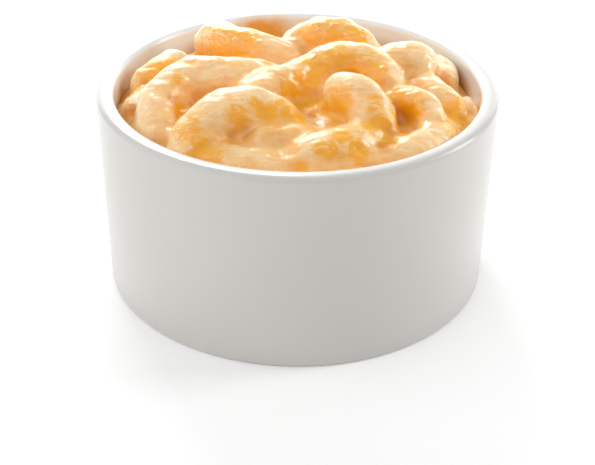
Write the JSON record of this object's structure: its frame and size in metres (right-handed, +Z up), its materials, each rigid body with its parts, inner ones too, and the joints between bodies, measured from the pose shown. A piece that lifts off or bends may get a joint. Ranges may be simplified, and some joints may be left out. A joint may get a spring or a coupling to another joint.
{
  "type": "bowl of macaroni and cheese",
  "caption": "Straight-sided white porcelain ramekin heaped with elbow macaroni in a glossy cheese sauce, with patches of melted cheddar.",
  "frame": {"origin": "centre of the foot's resting plane, on the bowl's axis", "axes": "+Z up along the bowl's axis; +Y points to the back of the bowl, where the food lies lowest; +X to the right"},
  "size_m": [0.09, 0.09, 0.0558],
  "materials": {
    "porcelain": "white glossy glaze",
    "macaroni_and_sauce": "glossy, moist cheese sauce"
  },
  "bodies": {
    "root": {"bowl": "porcelain", "macaroni_and_sauce": "macaroni_and_sauce"}
  },
  "joints": []
}
